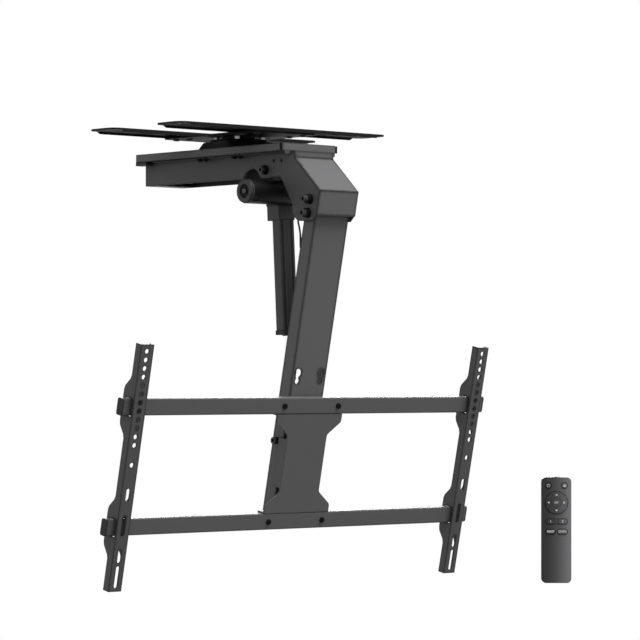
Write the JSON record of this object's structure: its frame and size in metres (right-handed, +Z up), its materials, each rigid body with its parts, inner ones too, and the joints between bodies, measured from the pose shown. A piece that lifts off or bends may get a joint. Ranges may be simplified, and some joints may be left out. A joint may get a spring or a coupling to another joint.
{
  "type": "motorized tv ceiling mount",
  "caption": "Ceiling mount whose motor folds a leaning arm with a bar frame up under the ceiling, with a swivel, sliding screen brackets and a hand remote.",
  "frame": {"origin": "on the swivel axis, in the plane where the rails meet the ceiling", "axes": "+Z up into the ceiling, +X along the rails and the screen's width, -Y towards the viewer of the lowered screen; stored with the arm lowered"},
  "size_m": [0.862, 0.7335, 0.8239],
  "materials": {
    "rail_black": "satin black powder coat",
    "housing_black": "fine textured black powder coat",
    "arm_black": "fine textured black powder coat",
    "gear_black": "satin black paint",
    "tube_black": "black anodised",
    "dark_plastic": "moulded, matt",
    "nylon": "moulded, matt",
    "acetal": "moulded, satin",
    "black_fastener": "black oxide",
    "zinc_fastener": "bright zinc plate",
    "rod_steel": "hard chrome",
    "screw_steel": "rolled",
    "eye_steel": "phosphated",
    "board_green": "coated circuit board",
    "cable_black": "black sheath",
    "remote_face": "fine spark texture",
    "remote_back": "spark texture",
    "remote_keys": "satin keys"
  },
  "bodies": {
    "ceiling_frame": {"ceiling_rail_front": "rail_black", "ceiling_rail_rear": "rail_black", "cross_plate": "rail_black", "rail_bolts": "black_fastener", "swivel_hub": "rail_black", "post_spacers": "zinc_fastener", "post_bolts": "zinc_fastener", "bearing_plate": "rail_black", "swivel_bolt": "black_fastener", "swivel_nut": "zinc_fastener", "glide_ring": "nylon", "remote_front_shell": "remote_face", "remote_back_shell": "remote_back", "battery_door": "remote_back"},
    "housing": {"swivel_dish": "housing_black", "stop_peg": "zinc_fastener", "top_cover": "housing_black", "housing_shell": "housing_black", "front_cover": "arm_black", "bottom_cover": "housing_black", "corner_pads": "dark_plastic", "flange_bolts": "black_fastener", "cheek_screws": "black_fastener", "cross_bolts": "black_fastener", "pivot_washers": "nylon", "stop_sleeve": "zinc_fastener", "actuator_bushes": "zinc_fastener", "controller_case": "dark_plastic", "controller_board": "board_green", "power_inlet": "dark_plastic"},
    "folding_arm": {"arm": "arm_black", "rod_pin_bolts": "black_fastener", "arm_cable": "cable_black", "centre_plate": "arm_black", "hook_studs": "zinc_fastener", "upper_bar": "arm_black", "lower_bar": "arm_black", "bar_end_caps": "dark_plastic", "bar_screws": "black_fastener"},
    "actuator": {"motor_can": "gear_black", "motor_end_bell": "gear_black", "gearbox": "gear_black", "tube_collar": "gear_black", "actuator_tube": "tube_black", "tube_end_cap": "dark_plastic", "lead_screw": "screw_steel"},
    "rod": {"actuator_rod": "rod_steel", "drive_nut": "acetal", "rod_eye": "eye_steel"},
    "left_bracket": {"bracket_left": "arm_black"},
    "right_bracket": {"bracket_right": "arm_black"},
    "power_key": {"power_button": "remote_keys"},
    "home_key": {"home_button": "remote_keys"},
    "direction_key": {"direction_ring": "remote_keys"},
    "middle_key": {"middle_button": "remote_keys"},
    "left_key": {"left_button": "remote_keys"},
    "right_key": {"right_button": "remote_keys"},
    "lower_left_key": {"lower_left_button": "remote_keys"},
    "lower_right_key": {"lower_right_button": "remote_keys"}
  },
  "joints": [
    {"name": "swivel", "type": "hinge", "parent": "ceiling_frame", "child": "housing", "pos_m": [0, 0, 0], "axis": [0, 0, 1], "range_deg": [-30, 30]},
    {"name": "arm_fold", "type": "hinge", "parent": "housing", "child": "folding_arm", "pos_m": [0, -0.2445, -0.16], "axis": [1, 0, 0], "range_deg": [0, 77.7]},
    {"name": "actuator_swing", "type": "hinge", "parent": "housing", "child": "actuator", "pos_m": [0, -0.128, -0.078], "axis": [1, 0, 0], "range_deg": [0, 78]},
    {"name": "rod_slide", "type": "slide", "parent": "actuator", "child": "rod", "axis": [0, -0.057, -0.9984], "range_m": [-0.179, 0]},
    {"name": "left_bracket_slide", "type": "slide", "parent": "folding_arm", "child": "left_bracket", "axis": [1, 0, 0], "range_m": [-0.008, 0.29]},
    {"name": "right_bracket_slide", "type": "slide", "parent": "folding_arm", "child": "right_bracket", "axis": [-1, 0, 0], "range_m": [-0.008, 0.29]},
    {"name": "power_press", "type": "slide", "parent": "ceiling_frame", "child": "power_key", "axis": [0.6626, 0.749, 0], "range_m": [0, 0.0006], "stiffness_N_per_m": 1200, "springref_m": -0.0004},
    {"name": "home_press", "type": "slide", "parent": "ceiling_frame", "child": "home_key", "axis": [0.6626, 0.749, 0], "range_m": [0, 0.0006], "stiffness_N_per_m": 1200, "springref_m": -0.0004},
    {"name": "direction_press", "type": "slide", "parent": "ceiling_frame", "child": "direction_key", "axis": [0.6626, 0.749, 0], "range_m": [0, 0.0006], "stiffness_N_per_m": 1200, "springref_m": -0.0004},
    {"name": "middle_press", "type": "slide", "parent": "ceiling_frame", "child": "middle_key", "axis": [0.6626, 0.749, 0], "range_m": [0, 0.0006], "stiffness_N_per_m": 1200, "springref_m": -0.0004},
    {"name": "left_press", "type": "slide", "parent": "ceiling_frame", "child": "left_key", "axis": [0.6626, 0.749, 0], "range_m": [0, 0.0006], "stiffness_N_per_m": 1200, "springref_m": -0.0004},
    {"name": "right_press", "type": "slide", "parent": "ceiling_frame", "child": "right_key", "axis": [0.6626, 0.749, 0], "range_m": [0, 0.0006], "stiffness_N_per_m": 1200, "springref_m": -0.0004},
    {"name": "lower_left_press", "type": "slide", "parent": "ceiling_frame", "child": "lower_left_key", "axis": [0.6626, 0.749, 0], "range_m": [0, 0.0006], "stiffness_N_per_m": 1200, "springref_m": -0.0004},
    {"name": "lower_right_press", "type": "slide", "parent": "ceiling_frame", "child": "lower_right_key", "axis": [0.6626, 0.749, 0], "range_m": [0, 0.0006], "stiffness_N_per_m": 1200, "springref_m": -0.0004}
  ],
  "couplings": [
    {"joint": "actuator_swing", "follows": "arm_fold", "ratio": 1.0033},
    {"joint": "rod_slide", "follows": "arm_fold", "m_per_rad": -0.13179}
  ]
}
